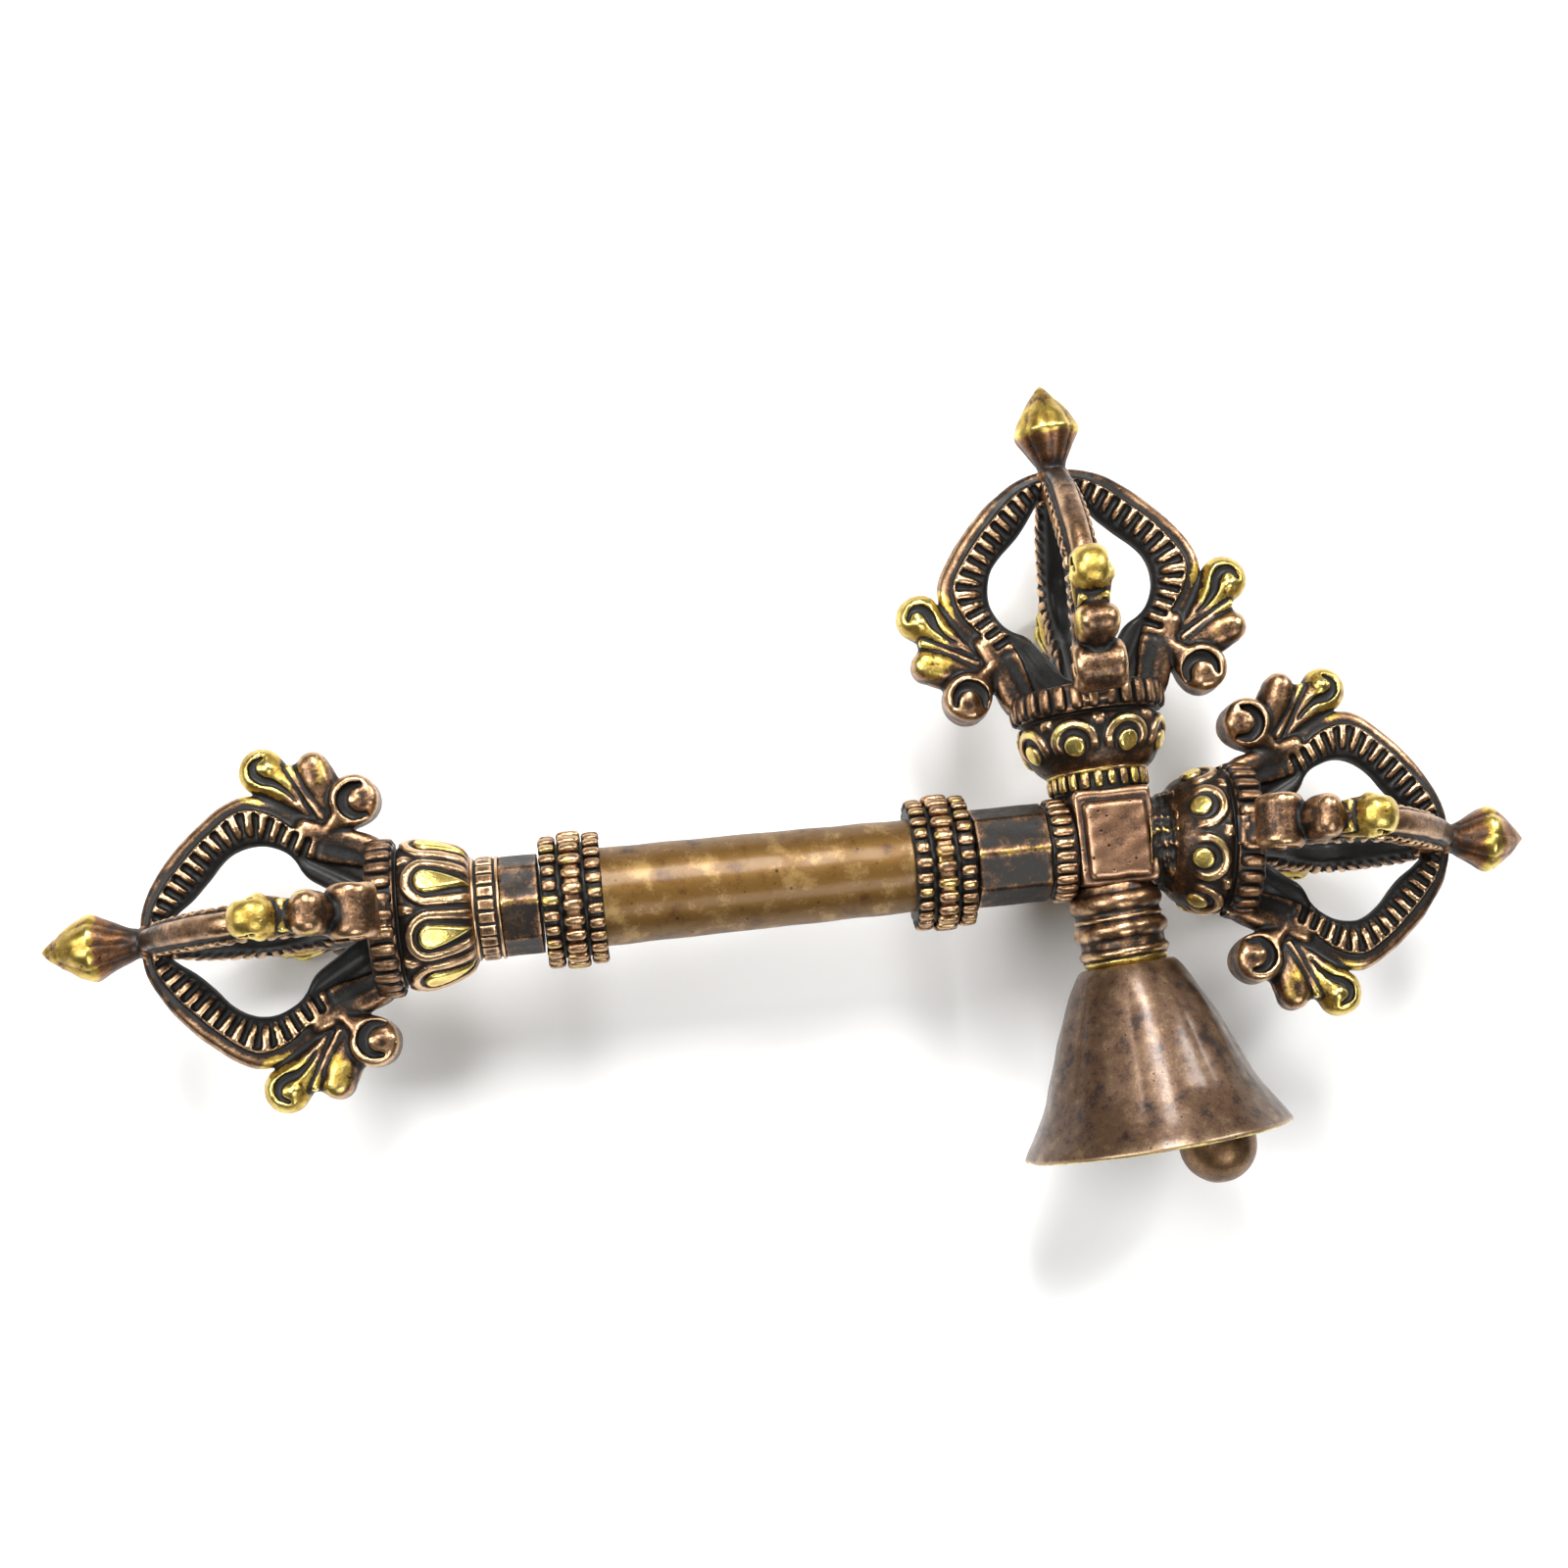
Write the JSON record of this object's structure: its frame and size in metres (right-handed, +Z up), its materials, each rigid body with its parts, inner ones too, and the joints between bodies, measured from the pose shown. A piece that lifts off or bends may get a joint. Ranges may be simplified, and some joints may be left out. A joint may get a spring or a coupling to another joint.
{
  "type": "crossed hand bell",
  "caption": "Ritual hand bell lying on its side: straight grip with a four-pronged head at its end, a cross block with two more heads and a small bell with a clapper.",
  "frame": {"origin": "on the surface the bell lies on, straight under the middle of the cross block", "axes": "+X along the handle from the far head to the block and past it, +Y from the bell to the head opposite it, +Z up from the surface"},
  "size_m": [0.1998, 0.1113, 0.0486],
  "materials": {
    "cast_bronze": "dark patina with rubbed high spots",
    "worn_brass": "polished by wear, pitted",
    "sleeve_brass": "tarnished satin",
    "bell_bronze": "brown satin patina",
    "ball_bronze": "brown satin patina, pitted",
    "loop_wire": "dull drawn wire"
  },
  "bodies": {
    "root": {"bell_neck": "cast_bronze", "bell_shell": "bell_bronze", "block_collar": "cast_bronze", "centre_block": "cast_bronze", "clapper_staple": "loop_wire", "grip_sleeve": "sleeve_brass", "handle_finial": "worn_brass", "handle_lotus_cup": "cast_bronze", "handle_prong_back": "cast_bronze", "handle_prong_front": "cast_bronze", "handle_prong_lower": "cast_bronze", "handle_prong_upper": "cast_bronze", "inner_collar": "cast_bronze", "inner_shaft": "cast_bronze", "lattice_band": "cast_bronze", "outer_collar": "cast_bronze", "outer_shaft": "cast_bronze", "right_block_ring": "cast_bronze", "right_finial": "worn_brass", "right_lotus_cup": "cast_bronze", "right_prong_back": "cast_bronze", "right_prong_front": "cast_bronze", "right_prong_lower": "cast_bronze", "right_prong_upper": "cast_bronze", "top_block_ring": "cast_bronze", "top_finial": "worn_brass", "top_lotus_cup": "cast_bronze", "top_prong_back": "cast_bronze", "top_prong_front": "cast_bronze", "top_prong_left": "cast_bronze", "top_prong_right": "cast_bronze"},
    "link": {"link_ring": "loop_wire"},
    "clapper": {"clapper_ball": "ball_bronze", "clapper_wire": "loop_wire"}
  },
  "joints": [
    {"name": "link_swing", "type": "hinge", "parent": "root", "child": "link", "pos_m": [0.00068, -0.01995, 0.02369], "axis": [-0.0028, 0.0418, -0.9991], "range_deg": [0, 44.83]},
    {"name": "clapper_swing", "type": "hinge", "parent": "link", "child": "clapper", "pos_m": [0.00188, -0.02237, 0.02359], "axis": [-0.8964, -0.4429, -0.016], "range_deg": [0, 33.19]}
  ]
}
